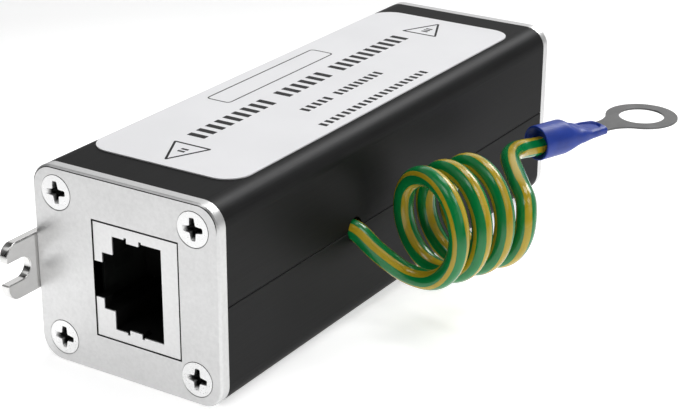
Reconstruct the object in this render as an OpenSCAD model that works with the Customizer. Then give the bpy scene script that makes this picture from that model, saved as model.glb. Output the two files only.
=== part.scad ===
// Inline surge protector for a network cable: an extruded case in two halves,
// two end plates with a socket each, a circuit board, a mounting strip and a
// coiled earth wire with a ring terminal.
// The origin is at the centre of the underside, +Y runs from the input plate
// to the output plate, +X points to the side where the earth wire leaves.

/* [Case] */
// Width of the case
case_w = 27; // [26:0.1:32]
// Height of the case
case_h = 25.4; // [24.6:0.1:32]
// Length of the extruded halves, between the end plates
case_l = 78.2; // [76:0.1:110]
// Thickness of the case walls
case_wall = 1.6; // [1.3:0.1:2.2]
// Radius of the four long edges
case_edge_r = 2.9; // [2:0.1:4]
// Height of the lip that laps the two halves
lap_h = 1; // [0.6:0.1:1.6]
// Thickness of that lip
lap_t = 0.7; // [0.4:0.1:0.9]
// Depth of the fine groove along the parting line
seam_depth = 0.15; // [0.05:0.05:0.3]
// Outer radius of the screw ports in the corners
port_r = 2.3; // [1.9:0.1:2.8]
// Width of the slit that opens each port to the inside
port_slit = 1.5; // [0.8:0.1:2]

/* [End plates] */
// Thickness of the end plates
plate_t = 1.5; // [1.2:0.1:3]
// Edge break around the outer face of a plate
plate_break = 0.25; // [0.1:0.05:0.5]
// Distance of a plate screw from the side of the case
screw_side = 3.55; // [3.2:0.05:4.5]
// Distance of a plate screw from the top and bottom of the case
screw_top = 3.3; // [3.1:0.05:4.5]

/* [Screws] */
// Thread diameter of the plate and strip screws
screw_d = 2.5; // [2:0.1:3]
// Diameter of the countersunk heads
screw_head_d = 4.4; // [4:0.1:5.2]
// Height of the countersunk heads
screw_head_h = 1; // [0.8:0.05:1.15]
// Length of a plate screw with its head
plate_screw_l = 9; // [6:0.5:14]
// Length of a strip screw with its head
strip_screw_l = 3; // [2.5:0.1:5]
// Length of one arm of the cross recess, tip to tip
recess_l = 2.8; // [2:0.1:3]
// Width of the arms of the cross recess
recess_w = 0.55; // [0.4:0.05:0.8]
// Depth of the cross recess
recess_depth = 0.7; // [0.4:0.05:0.75]

/* [Mounting strip] */
// Thickness of the strip
strip_t = 1.2; // [0.8:0.1:2]
// Width of the strip along the case
strip_w = 13; // [12:0.5:16]
// Distance from the end of the case to the wide part of the strip
strip_inset = 3; // [2:0.5:10]
// Height of the strip's middle line below the parting line
strip_drop = 0.2; // [0:0.1:1]
// Width of the ears
ear_w = 7.3; // [6.5:0.1:9]
// Reach of an ear beyond its end plate
ear_reach = 5.2; // [4.8:0.1:12]
// Corner radius of the ears
ear_r = 1.8; // [1:0.1:2]
// Width of the open slot in each ear
slot_w = 2.8; // [2:0.1:3.4]
// Depth of that slot
slot_l = 4; // [3:0.1:4.4]
// Distance of the strip screws from the middle of the case, along it
strip_screw_y = 27; // [20:0.5:30]
// Distance of the strip screws from the strip's middle line
strip_screw_z = 4; // [3.6:0.1:4.2]

/* [Label] */
// Width of the label
label_w = 22; // [16:0.1:22.2]
// Length of the label
label_l = 68.3; // [50:0.1:74]
// Offset of the label across the case, away from the wire
label_x = 0.17; // [0:0.01:0.3]
// Offset of the label toward the output end
label_y = 0.45; // [-1:0.05:1]
// Thickness of the label
label_t = 0.15; // [0.1:0.05:0.3]
// Corner radius of the label
label_r = 3.3; // [1:0.1:5]

/* [Sockets] */
// Width of a socket with its shield, across the case
jack_w = 12.3; // [11.8:0.1:12.8]
// Height of a socket with its shield
jack_h = 14.7; // [14.2:0.1:15.2]
// Depth of a socket housing, along the case
jack_l = 18; // [17:0.1:20]
// Offset of the sockets from the middle of the case, away from the board
jack_x = 1.44; // [1:0.01:1.8]
// Offset of the sockets below the parting line
jack_drop = 0.3; // [0:0.05:0.6]
// How far a socket's face lies behind the face of its plate
jack_recess = 0.15; // [0:0.05:0.5]
// Gap between a socket and its plate
jack_gap = 0.1; // [0.05:0.05:0.2]
// How far that gap is wider above the socket and toward the wire
jack_shift = 0.07; // [0:0.01:0.09]
// Width of the plug opening, across the case
plug_w = 7.1; // [6.9:0.05:7.4]
// Height of the plug opening
plug_h = 11.9; // [11.7:0.05:12.2]
// Offset of the plug opening from the middle of the socket
plug_x = 0.2; // [0:0.05:0.3]
// Depth of the plug opening
plug_depth = 13; // [12:0.1:13.5]
// Height of the keyway for the latch
keyway_h = 7.2; // [6.6:0.1:7.6]
// Depth of the keyway beside the plug opening
keyway_w = 1.6; // [1.2:0.1:1.8]
// Height of the latch slot in the front lip
latch_h = 4.6; // [4.2:0.1:5]
// Height of the latch pocket behind the lip
latch_pocket_h = 6.4; // [6:0.1:6.8]
// Thickness of the front lip that the latch catches on
lip_t = 1.5; // [1.2:0.1:2]
// Length of the latch pocket
latch_pocket_l = 8; // [7:0.1:9]
// Width of the small lugs at the two ends of the plug opening
lug_w = 1.8; // [1.4:0.1:2.2]
// Offset of the lugs from the middle of the opening, toward the latch
lug_shift = 0.55; // [0:0.05:1]
// Height of those lugs
lug_h = 0.4; // [0.2:0.05:0.6]
// Width of the relief notch beside each lug
notch_w = 0.35; // [0.2:0.05:0.5]
// Depth of the relief notches
notch_h = 0.25; // [0.1:0.05:0.4]

/* [Contacts] */
// Pitch of the eight contacts
contact_pitch = 1.02; // [0.95:0.01:1.05]
// Width of a contact
contact_w = 0.45; // [0.35:0.05:0.5]
// Thickness of a contact
contact_t = 0.3; // [0.2:0.05:0.35]
// Depth of the contact ledge beside the plug opening
ledge_w = 1.5; // [1.3:0.1:1.6]
// How far a contact springs into the plug opening
contact_spring = 2.2; // [1.6:0.1:2.4]
// Distance between the two rows of contact tails
tail_row = 1.8; // [1.5:0.1:2]
// Length of the tails beyond the back of the board
tail_l = 0.9; // [0.5:0.1:1.5]

/* [Socket shields] */
// Thickness of the shield sheet
shield_t = 0.25; // [0.2:0.05:0.3]
// Width of the shield's solder tabs
tab_w = 1.6; // [1:0.1:2.4]

/* [Circuit board] */
// Thickness of the board
board_t = 1.6; // [1.2:0.1:2]
// Distance from each end of the board to its end plate
board_end = 0.4; // [0.2:0.1:2]
// Clearance of the board in its grooves
board_gap = 0.1; // [0.05:0.05:0.2]
// Thickness of the ribs that form the grooves
rib_t = 0.9; // [0.7:0.1:1]
// Height of those ribs
rib_h = 1.4; // [0.8:0.1:1.6]

/* [Surge parts] */
// Number of wire pairs, each with its own gas tube and suppressor
pairs = 4; // [2:1:4]
// Distance between the pairs along the board
pair_pitch = 10; // [9:0.1:10.3]
// Diameter of the gas tubes
tube_d = 5.8; // [5:0.1:6]
// Length of the gas tubes
tube_l = 7.5; // [6:0.1:8.2]
// Thickness of the electrodes of a gas tube
electrode_t = 0.9; // [0.6:0.1:1.2]
// How far the electrodes stand proud of the ceramic
electrode_proud = 0.2; // [0.1:0.05:0.3]
// Diameter of the leads of a gas tube
lead_d = 0.8; // [0.6:0.1:0.9]
// Height of the gas tubes above the parting line
tube_rise = 5.5; // [5.3:0.1:5.8]
// Length of a suppressor package
chip_l = 4.9; // [4.6:0.1:5.1]
// Width of a suppressor package without its leads
chip_w = 3.9; // [3.6:0.1:4.1]
// Height of a suppressor package
chip_t = 1.4; // [1.2:0.1:1.7]
// Depth of the suppressors below the parting line
chip_drop = 6; // [5.8:0.1:6.4]
// Pitch of the leads of a suppressor
chip_pitch = 1.27; // [1.1:0.01:1.3]
// Length of a line resistor
resistor_l = 3.2; // [2.5:0.1:3.4]
// Width of a line resistor
resistor_w = 1.6; // [1.2:0.1:1.8]
// Thickness of a line resistor
resistor_t = 0.55; // [0.4:0.05:0.8]
// Depth of the line resistors below the parting line
resistor_drop = 4.7; // [4.5:0.1:5.5]

/* [Earth wire] */
// Outer diameter of the earth wire
wire_d = 2.6; // [2.4:0.05:2.8]
// Diameter of the hole where it leaves the case
wire_hole_d = 3.2; // [3.1:0.05:3.8]
// Distance of that hole from the middle of the case, toward the input end
wire_hole_y = 12.25; // [10:0.25:13]
// Outer diameter of the solder cup on the board
cup_d = 3.8; // [3.6:0.1:4.2]
// Length of the solder cup
cup_l = 5; // [3:0.1:7]
// Diameter of the cup's flange
cup_flange_d = 4.6; // [4.3:0.1:4.8]
// Mean radius of the coil
coil_r = 6.4; // [6.3:0.05:6.5]
// Rise of the coil for one turn
coil_pitch = 3.7; // [3.6:0.05:3.8]
// Number of turns in the coil
coil_turns = 3.25; // [3.15:0.05:3.3]

/* [Ring terminal] */
// Length of the insulating sleeve
sleeve_l = 12.2; // [12:0.1:12.5]
// Diameter of the sleeve at its mouth
sleeve_d = 4.85; // [4.7:0.05:5.2]
// Wall of the sleeve
sleeve_wall = 0.45; // [0.35:0.05:0.5]
// Width of the crimped part of the sleeve
crimp_w = 4.8; // [4.6:0.1:5.6]
// Depth of the wire in the sleeve
barrel_y = 3; // [2.95:0.05:3.5]
// Distance from the sleeve's mouth to the centre of the ring
ring_y = 20.4; // [19:0.1:22]
// Outer diameter of the ring
ring_d = 10.2; // [9.5:0.1:11]
// Diameter of the hole in the ring
ring_hole_d = 6.4; // [5.3:0.1:6.6]
// Thickness of the ring
ring_t = 0.25; // [0.2:0.05:0.4]
// Width of the neck between sleeve and ring
neck_w = 3.3; // [2.8:0.1:3.5]
// Offset of the neck from the middle of the sleeve, toward the case
neck_x = 0.4; // [0:0.05:0.5]
// Radius of the fillets between neck and ring
neck_r = 5; // [3.5:0.1:5]

/* [Hidden] */
$fn = 48;
eps = 0.01;
fit = 0.05;
mid_z = case_h / 2;
inner_w = case_w - 2 * case_wall;
inner_h = case_h - 2 * case_wall;
end_y = case_l / 2;
face_y = end_y + plate_t;
screw_x = case_w / 2 - screw_side;
screw_z = case_h / 2 - screw_top;
port_bore = screw_d + 2 * fit;
strip_z = mid_z - strip_drop;
jack_z = mid_z - jack_drop;
jack_face_y = face_y - jack_recess;
plug_right = plug_x + plug_w / 2;
plug_left = plug_x - plug_w / 2;
insert_x = plug_right + ledge_w;
ledge_h = 9 * contact_pitch;
shell_w = jack_w - shield_t;
shell_h = jack_h - 2 * shield_t;
board_x = jack_x - jack_w / 2;
board_h = inner_h - 2 * board_gap;
board_l = case_l - 2 * board_end;
tube_x = board_x + tube_d / 2 + electrode_proud;
tube_z = mid_z + tube_rise;
chip_z = mid_z - chip_drop;
resistor_z = mid_z - resistor_drop;
channels = [for (i = [0 : pairs - 1]) (i - (pairs - 1) / 2) * pair_pitch];
strip_screw_places = [for (sy = [-1, 1], sz = [-1, 1])
    [sy * strip_screw_y, strip_z + sz * strip_screw_z]];

// Centre of the earth wire's hole, on the outside of the case
hole = [case_w / 2, -wire_hole_y, mid_z];

// Route of the earth wire from the hole to the first turn of the coil
lead_route = from_hole([
    [-1.5, 0, 0], [0.25, 0, 0], [2, 0.25, -1.7], [4.5, 1, -3.7], [6.5, 1.5, -4.95],
    [7.75, 1.75, -5.35]
]);
// Route of the earth wire from the last turn to the ring terminal
tail_route = from_hole([
    [18, 11.25, 2.55], [17.5, 12.25, 3.55], [16, 13.75, 4.05], [14.25, 16, 4.3],
    [12.25, 18.75, 4.3], [9.75, 22.5, 4.05], [8, 26.5, 3.3], [7.5, 29, 2.8],
    [7.75, 30.75, 2.55], [8.25, 32.25, 2.3], [9.5, 35.5, 2.3]
]);
function from_hole(points) = [for (point = points) hole + point];
wire_sides = 8;
coil_angle = 20;
coil_start = hole + [8.1, 1.85, 1.05];
terminal_angle = 20.5;
sleeve_mouth = hole + [8.5, 32.75, 2.8];

// Colours of the parts
black_anodised = "#3a3a3c";
bare_aluminium = "#d8d8d6";
steel = "#b8b8ba";
label_grey = "#e4e4e6";
black_plastic = "#202022";
gold = "#d4af37";
board_black = "#1a1c1b";
ceramic = "#e8e4da";
tin = "#c4c4c8";
wire_green = "#1a8a50";
sleeve_blue = "#26439a";
ring_grey = "#7c7c7e";

// Rectangle with round corners, centred
module rounded_rect(w, h, r) {
    square([w - 2 * r, h], center = true);
    square([w, h - 2 * r], center = true);
    for (sx = [-1, 1], sy = [-1, 1])
        translate([sx * (w / 2 - r), sy * (h / 2 - r)]) circle(r);
}

// Stands a flat drawing up: its x stays x, its y becomes z, and it is
// extruded along +Y from y0 by a length
module along_y(y0, length) {
    translate([0, y0 + length, 0]) rotate([90, 0, 0]) linear_extrude(length) children();
}

// Calls its children at the input end, and turned half round for the output end
module at_end(output) {
    translate([0, 0, jack_z]) rotate([output ? 180 : 0, 0, 0]) translate([0, 0, -jack_z])
        children();
}

// Outline of a bent strip of sheet or wire of width w along points in a plane
function left_of(v) = [-v[1], v[0]] / norm(v);
function mitre(points, i) =
    let (last = len(points) - 1,
         a = left_of(points[max(i, 1)] - points[max(i, 1) - 1]),
         b = left_of(points[min(i, last - 1) + 1] - points[min(i, last - 1)]))
    (a + b) / (1 + a * b);
function bent_strip(points, w) =
    let (last = len(points) - 1)
    concat(
        [for (i = [0 : last]) points[i] + mitre(points, i) * w / 2],
        [for (i = [0 : last]) points[last - i] - mitre(points, last - i) * w / 2]
    );

// Case

// Section of both halves together, drawn about the parting line
module case_section() {
    difference() {
        union() {
            difference() {
                rounded_rect(case_w, case_h, case_edge_r);
                square([inner_w, inner_h], center = true);
            }
            intersection() {
                rounded_rect(case_w, case_h, case_edge_r);
                for (sx = [-1, 1], sz = [-1, 1])
                    translate([sx * screw_x, sz * screw_z]) circle(port_r);
            }
            board_ribs();
        }
        for (sx = [-1, 1], sz = [-1, 1]) translate([sx * screw_x, sz * screw_z]) {
            circle(d = port_bore);
            rotate(atan2(-sz, -sx))
                translate([0, -port_slit / 2]) square([2 * port_r, port_slit]);
        }
    }
}

// Two pairs of ribs that hold the long edges of the board
module board_ribs() {
    for (sz = [-1, 1], x = [board_x + board_gap, board_x - board_t - board_gap - rib_t])
        translate([x, sz * (inner_h - rib_h) / 2 - (rib_h + eps) / 2])
            square([rib_t, rib_h + eps]);
}

// Lip that stands up from the lower half inside the upper one
module lap_section(gap) {
    for (sx = [-1, 1])
        translate([sx * (inner_w + lap_t) / 2, (lap_h + gap) / 2])
            square([lap_t + 2 * gap, lap_h + gap], center = true);
}

// Fine groove on the outside of both halves, along the parting line
module seam_section() {
    for (sx = [-1, 1])
        translate([sx * case_w / 2, 0]) rotate(45) square(seam_depth * sqrt(2), center = true);
}

module half_plane(side) {
    translate([-case_w, side > 0 ? 0 : -case_h]) square([2 * case_w, case_h]);
}

// Bores for the earth wire and for the screws of the mounting strip
module side_bores() {
    translate(hole - [case_wall + lap_t, 0, 0]) rotate([0, 90, 0])
        cylinder(d = wire_hole_d, h = case_wall + 2 * lap_t);
    for (position = strip_screw_places)
        translate([-case_w / 2 - eps, position[0], position[1]]) rotate([0, 90, 0])
            cylinder(d = port_bore, h = case_wall + 2 * eps);
}

module upper_shell() {
    color(black_anodised) difference() {
        along_y(-end_y, case_l) translate([0, mid_z]) difference() {
            intersection() {
                case_section();
                half_plane(1);
            }
            lap_section(board_gap);
            seam_section();
        }
        side_bores();
    }
}

module lower_shell() {
    color(black_anodised) difference() {
        along_y(-end_y, case_l) translate([0, mid_z]) difference() {
            union() {
                intersection() {
                    case_section();
                    half_plane(-1);
                }
                lap_section(0);
            }
            seam_section();
        }
        side_bores();
    }
}

// End plates

// Slab in the plane of the end plates with an edge break on its outer face,
// which lies at y = 0; the slab runs back along +Y
module broken_slab(w, h, r, t, edge) {
    along_y(edge, t - edge) rounded_rect(w, h, r);
    for (sx = [-1, 1], sz = [-1, 1])
        translate([sx * (w / 2 - r), 0, sz * (h / 2 - r)]) rotate([-90, 0, 0])
            cylinder(r1 = r - edge, r2 = r, h = edge);
    translate([-(w / 2 - r), 0, 0]) rotate([90, 0, 90]) linear_extrude(w - 2 * r)
        polygon([[0, edge - h / 2], [edge, -h / 2], [edge, h / 2], [0, h / 2 - edge]]);
    translate([0, 0, -(h / 2 - r)]) linear_extrude(h - 2 * r)
        polygon([[edge - w / 2, 0], [w / 2 - edge, 0], [w / 2, edge], [-w / 2, edge]]);
}

// Countersunk screw along +Z with its head's face at z = 0
module countersunk_screw(length) {
    difference() {
        union() {
            cylinder(d1 = screw_head_d, d2 = screw_d, h = screw_head_h);
            cylinder(d = screw_d, h = length);
        }
        for (turn = [0, 90]) rotate(turn)
            translate([-recess_l / 2, -recess_w / 2, -eps])
                cube([recess_l, recess_w, recess_depth + eps]);
    }
}

// Hole for that screw through a sheet
module countersunk_hole(t) {
    translate([0, 0, -eps]) cylinder(d = screw_d + 2 * fit, h = t + 2 * eps);
    cylinder(d1 = screw_head_d + 2 * fit, d2 = screw_d + 2 * fit, h = screw_head_h);
}

// Calls its children at each screw of a plate, with +Z pointing into the case
module at_plate_screws() {
    for (sx = [-1, 1], sz = [-1, 1])
        translate([sx * screw_x, -face_y, mid_z + sz * screw_z]) rotate([-90, 0, 0]) children();
}

module end_plate() {
    color(bare_aluminium) difference() {
        translate([0, -face_y, mid_z])
            broken_slab(case_w, case_h, case_edge_r, plate_t, plate_break);
        translate([jack_x + jack_shift, 0, jack_z + jack_shift]) along_y(-face_y - eps, plate_t + 2 * eps)
            square([jack_w + 2 * jack_gap, jack_h + 2 * jack_gap], center = true);
        at_plate_screws() countersunk_hole(plate_t);
    }
}

module front_plate() {
    end_plate();
}

module rear_plate() {
    mirror([0, 1, 0]) end_plate();
}

module front_plate_screws() {
    color(steel) at_plate_screws() countersunk_screw(plate_screw_l);
}

module rear_plate_screws() {
    color(steel) mirror([0, 1, 0]) at_plate_screws() countersunk_screw(plate_screw_l);
}

// Label

module label() {
    color(label_grey) translate([-label_x, label_y, case_h]) linear_extrude(label_t)
        rounded_rect(label_w, label_l, label_r);
}

// Mounting strip

// Turns a drawing whose x is the case's Y and whose y is Z to face along X,
// and extrudes it along +X from x0
module along_x(x0, length) {
    translate([x0, 0, 0]) rotate([90, 0, 90]) linear_extrude(length) children();
}

module at_strip_screws() {
    for (place = strip_screw_places)
        translate([-case_w / 2 - strip_t, place[0], place[1]]) rotate([0, 90, 0]) children();
}

module mounting_strip() {
    color(steel) difference() {
        along_x(-case_w / 2 - strip_t, strip_t) translate([0, strip_z]) difference() {
            union() {
                rounded_rect(2 * (face_y + ear_reach), ear_w, ear_r);
                rounded_rect(2 * (end_y - strip_inset), strip_w, ear_r);
            }
            for (sy = [-1, 1]) translate([sy * (face_y + ear_reach - slot_l + slot_w / 2), 0]) {
                circle(d = slot_w);
                translate([sy * slot_l / 2, 0]) square([slot_l, slot_w], center = true);
            }
        }
        at_strip_screws() countersunk_hole(strip_t);
    }
}

module strip_screws() {
    color(steel) at_strip_screws() countersunk_screw(strip_screw_l);
}

// Sockets; their own drawings start at the middle of the socket's face, with
// the latch toward -X and the contacts toward +X

module at_socket(output) {
    at_end(output) translate([jack_x, -jack_face_y, jack_z]) children();
}

// Part of the plug opening: the plug itself, the keyway and a slot for the latch
module plug_section(slot_h) {
    translate([plug_x, 0]) square([plug_w, plug_h], center = true);
    translate([plug_left - keyway_w, -keyway_h / 2]) square([keyway_w + eps, keyway_h]);
    translate([-jack_w / 2 - eps, -slot_h / 2]) square([plug_left + jack_w / 2 + 2 * eps, slot_h]);
}

// The mouth in the front lip, with a lug and two relief notches at each end
module mouth_section() {
    lug_x = plug_x - lug_shift;
    difference() {
        union() {
            plug_section(latch_h);
            for (sx = [-1, 1]) translate([lug_x + sx * (lug_w + notch_w) / 2, 0])
                square([notch_w, plug_h + 2 * notch_h], center = true);
        }
        for (sz = [-1, 1]) translate([lug_x, sz * (plug_h + eps) / 2])
            square([lug_w, 2 * lug_h + eps], center = true);
    }
}

module socket_housing(output) {
    color(black_plastic) at_socket(output) difference() {
        along_y(shield_t, jack_l - shield_t) translate([-jack_w / 2, -shell_h / 2])
            square([shell_w, shell_h]);
        along_y(0, lip_t + eps) mouth_section();
        along_y(lip_t, latch_pocket_l) plug_section(latch_pocket_h);
        along_y(lip_t, plug_depth - lip_t) translate([plug_x, 0])
            square([plug_w, plug_h], center = true);
        along_y(lip_t, jack_l) translate([plug_right - eps, -ledge_h / 2])
            square([ledge_w + eps, ledge_h]);
        along_y(plug_depth - eps, jack_l) translate([-jack_w / 2 - eps, -ledge_h / 2])
            square([insert_x + jack_w / 2 + eps, ledge_h]);
    }
}

// Distance of a contact's tail behind the face, in two staggered rows
function tail_y(i) = plug_depth + contact_pitch + (i % 2) * tail_row;
function contact_z(i) = (i - 3.5) * contact_pitch;

// Middle line of a contact: tail, leg, run along the ledge, turn and spring
contact_run_x = insert_x - fit - 2 * contact_t;
turn_y = lip_t + 3 * contact_t;
function contact_line(i) = [
    [-jack_w / 2 - board_t - tail_l, tail_y(i)],
    [contact_run_x, tail_y(i)],
    [contact_run_x, turn_y],
    [contact_run_x - contact_t, turn_y - contact_t],
    [contact_run_x - 2.5 * contact_t, turn_y],
    [plug_right - contact_spring, plug_depth - 2 * lip_t]
];

module contact(i, spare) {
    translate([0, 0, contact_z(i)]) linear_extrude(contact_w + 2 * spare, center = true)
        polygon(bent_strip(contact_line(i), contact_t + 2 * spare));
}

module socket_insert(output) {
    ledge_y = lip_t + fit;
    color(black_plastic) at_socket(output) difference() {
        union() {
            along_y(plug_depth, jack_l - plug_depth)
                translate([-jack_w / 2, fit - ledge_h / 2])
                    square([insert_x - fit + jack_w / 2, ledge_h - 2 * fit]);
            along_y(ledge_y, jack_l - ledge_y) translate([plug_right, fit - ledge_h / 2])
                square([ledge_w - fit, ledge_h - 2 * fit]);
        }
        for (i = [0 : 7]) {
            contact(i, fit);
            translate([plug_right - eps, turn_y - 2 * contact_t, contact_z(i) - contact_w / 2 - fit])
                cube([contact_run_x - plug_right, plug_depth - turn_y + 2 * contact_t,
                      contact_w + 2 * fit]);
        }
    }
}

module socket_contacts(output) {
    color(gold) at_socket(output) for (i = [0 : 7]) contact(i, 0);
}

// Folded sheet around the housing, with the mouth in its face, open to the board
module socket_shield(output) {
    color(tin) at_socket(output) {
        difference() {
            along_y(0, jack_l + shield_t) square([jack_w, jack_h], center = true);
            along_y(shield_t, jack_l - shield_t) translate([-jack_w / 2 - eps, -shell_h / 2])
                square([shell_w + eps, shell_h]);
            along_y(-eps, shield_t + 2 * eps) mouth_section();
        }
        for (sz = [-1, 1]) translate([0, 0, sz * (shell_h + shield_t) / 2])
            along_y((jack_l - tab_w) / 2, tab_w)
                translate([-jack_w / 2 - board_t - tail_l, -shield_t / 2])
                    square([board_t + tail_l + eps, shield_t]);
    }
}

module input_jack_housing() { socket_housing(false); }
module input_jack_insert() { socket_insert(false); }
module input_jack_contacts() { socket_contacts(false); }
module input_jack_shield() { socket_shield(false); }
module output_jack_housing() { socket_housing(true); }
module output_jack_insert() { socket_insert(true); }
module output_jack_contacts() { socket_contacts(true); }
module output_jack_shield() { socket_shield(true); }

// Circuit board, drawn with x along the case and y upward

// Holes for the tails of one socket, about the middle of the case
module socket_footprint() {
    for (i = [0 : 7]) translate([tail_y(i) - jack_face_y, contact_z(i)])
        circle(d = contact_w + 2 * contact_t);
    for (sz = [-1, 1])
        translate([jack_l / 2 - jack_face_y, sz * (shell_h + shield_t) / 2])
            square([tab_w + 4 * fit, shield_t + 4 * fit], center = true);
}

// Places of the three leads of a gas tube along the board
function lead_offsets() = [for (k = [-1 : 1]) k * (tube_l - electrode_t) / 2];

module circuit_board() {
    color(board_black) along_x(board_x - board_t, board_t) difference() {
        translate([0, mid_z]) square([board_l, board_h], center = true);
        translate([0, jack_z]) socket_footprint();
        translate([0, jack_z]) rotate(180) socket_footprint();
        for (y = channels, dy = lead_offsets())
            translate([y + dy, tube_z]) circle(d = lead_d + 4 * fit);
        translate([hole[1], hole[2]]) circle(d = cup_pin_d + 4 * fit);
    }
}

// Surge parts

// Gas discharge tube lying on the board, with three electrodes and their leads
module gas_tube(y) {
    translate([tube_x, y, tube_z]) {
        color(ceramic) rotate([90, 0, 0]) cylinder(d = tube_d, h = tube_l, center = true);
        color(tin) for (dy = lead_offsets()) translate([0, dy, 0]) {
            rotate([90, 0, 0])
                cylinder(d = tube_d + 2 * electrode_proud, h = electrode_t, center = true);
            rotate([0, -90, 0]) cylinder(d = lead_d, h = tube_x - board_x + board_t + tail_l);
        }
    }
}

// Suppressor array on the board, a package with four leads on each long side
module suppressor(y) {
    lead_t = 0.2;
    lift = 0.1;
    body_mid = lift + chip_t / 2;
    translate([board_x, y, chip_z]) {
        color(black_plastic) translate([lift, -chip_l / 2, -chip_w / 2])
            cube([chip_t, chip_l, chip_w]);
        color(tin) for (sz = [-1, 1], k = [-1.5 : 1.5])
            along_y(k * chip_pitch - lead_t, 2 * lead_t) polygon(bent_strip([
                [body_mid, sz * (chip_w / 2 - lead_t)],
                [body_mid, sz * (chip_w / 2 + 2 * lead_t)],
                [lead_t / 2, sz * (chip_w / 2 + 3 * lead_t)],
                [lead_t / 2, sz * (chip_w / 2 + 5 * lead_t)]
            ], lead_t));
    }
}

// Chip resistor on the back of the board, in series with one line
module line_resistor(y) {
    cap_l = resistor_l / 6;
    translate([board_x - board_t - resistor_t, y - resistor_w / 2, resistor_z - resistor_l / 2]) {
        color(black_plastic) translate([fit, fit, 0])
            cube([resistor_t - 2 * fit, resistor_w - 2 * fit, resistor_l]);
        color(tin) for (z = [0, resistor_l - cap_l]) translate([0, 0, z])
            cube([resistor_t, resistor_w, cap_l]);
    }
}

resistor_offsets = [-pair_pitch / 4, pair_pitch / 4];

// Earth wire

cup_pin_d = 1.2;
cup_floor = 1;

// Cup on the board that holds the inner end of the earth wire
module solder_cup() {
    color(tin) translate([board_x, hole[1], hole[2]]) rotate([0, 90, 0]) difference() {
        union() {
            cylinder(d = cup_flange_d, h = cup_floor / 2);
            cylinder(d = cup_d, h = cup_l);
            translate([0, 0, -board_t - tail_l]) cylinder(d = cup_pin_d, h = board_t + tail_l + eps);
        }
        translate([0, 0, cup_floor]) cylinder(d = wire_d + 2 * fit, h = cup_l);
    }
}

module inner_earth_wire() {
    start_x = board_x + cup_floor;
    color(wire_green) translate([start_x, hole[1], hole[2]]) rotate([0, 90, 0])
        cylinder(d = wire_d, h = lead_route[0][0] - start_x);
}

// Round tube swept along a route; side_hint is a direction that the route
// never follows, and keeps the rings from turning
function unit(v) = v / norm(v);
function heading(route, i) =
    let (last = len(route) - 1,
         before = route[max(i, 1)] - route[max(i, 1) - 1],
         after = route[min(i, last - 1) + 1] - route[min(i, last - 1)])
    unit(unit(before) + unit(after));
function ring(centre, along, side_hint, r) =
    let (u = unit(cross(along, side_hint)), v = cross(along, u))
    [for (k = [0 : wire_sides - 1])
        let (turn = 360 * k / wire_sides) centre + r * (cos(turn) * u + sin(turn) * v)];

module wire_along(route, side_hint) {
    n = wire_sides;
    last = len(route) - 1;
    points = [for (i = [0 : last]) each ring(route[i], heading(route, i), side_hint, wire_d / 2)];
    sides = [for (i = [0 : last - 1], k = [0 : n - 1])
        [i * n + k, (i + 1) * n + k, (i + 1) * n + (k + 1) % n, i * n + (k + 1) % n]];
    ends = [[for (k = [0 : n - 1]) k], [for (k = [n - 1 : -1 : 0]) last * n + k]];
    polyhedron(points, concat(sides, ends), convexity = 4);
}

// Space that the turns of the coil fill
module coil_space() {
    translate(coil_start) rotate([0, 0, -coil_angle]) rotate([-90, 0, 0]) rotate_extrude()
        translate([coil_r - wire_d / 2, -wire_d / 2])
            square([wire_d, coil_turns * coil_pitch + wire_d]);
}

module earth_lead() {
    color(wire_green) difference() {
        wire_along(lead_route, [0, 1, 0]);
        coil_space();
    }
}

module earth_coil() {
    color(wire_green) coil_space();
}

module earth_tail() {
    color(wire_green) difference() {
        wire_along(tail_route, [1, 0, 0]);
        coil_space();
    }
}

// Ring terminal, drawn from the sleeve's mouth with its length along +Y

crimp_y = 4.6;
crimp_h = 0.6;
crimp_blade_w = 2.8;
blade_end_y = 9.6;
tongue_top = -0.35;

module at_terminal() {
    translate(sleeve_mouth) rotate([0, 0, -terminal_angle]) children();
}

// Half width, half height, drop and side shift of the sleeve at some distances
// from its mouth: round at first, then pressed flat and narrow at the end
flare = sleeve_d / 2;
half_widths = [[0, flare], [4.5, flare], [7, crimp_w / 2], [9.5, crimp_w / 2 - 0.2],
    [sleeve_l, neck_w / 2 + 0.25]];
half_heights = [[0, flare], [4.2, flare], [7, 1.05], [9.5, 0.7], [sleeve_l, 0.47]];
drops = [[0, 0], [4.5, 0], [7, 0.15], [9.5, 0.35], [sleeve_l, 0.6]];
shifts = [[0, 0], [4.5, 0], [sleeve_l, -neck_x]];
sleeve_rings = 20;
sleeve_sides = 32;

// Point of an oval whose corners fill out as the sleeve is pressed flat
function swell(c, n) = sign(c) * pow(abs(c), 2 / n);
function sleeve_point(y, turn) =
    let (a = lookup(y, half_widths), b = lookup(y, half_heights), n = 2 + 3 * (1 - b / flare))
    [a * swell(cos(turn), n) + lookup(y, shifts), y, b * swell(sin(turn), n) - lookup(y, drops)];

module sleeve_body() {
    n = sleeve_sides;
    points = [for (i = [0 : sleeve_rings], k = [0 : n - 1])
        sleeve_point(sleeve_l * i / sleeve_rings, 360 * k / n)];
    sides = [for (i = [0 : sleeve_rings - 1], k = [0 : n - 1])
        [i * n + k, i * n + (k + 1) % n, (i + 1) * n + (k + 1) % n, (i + 1) * n + k]];
    ends = [[for (k = [n - 1 : -1 : 0]) k], [for (k = [0 : n - 1]) sleeve_rings * n + k]];
    polyhedron(points, concat(sides, ends), convexity = 4);
}

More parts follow.
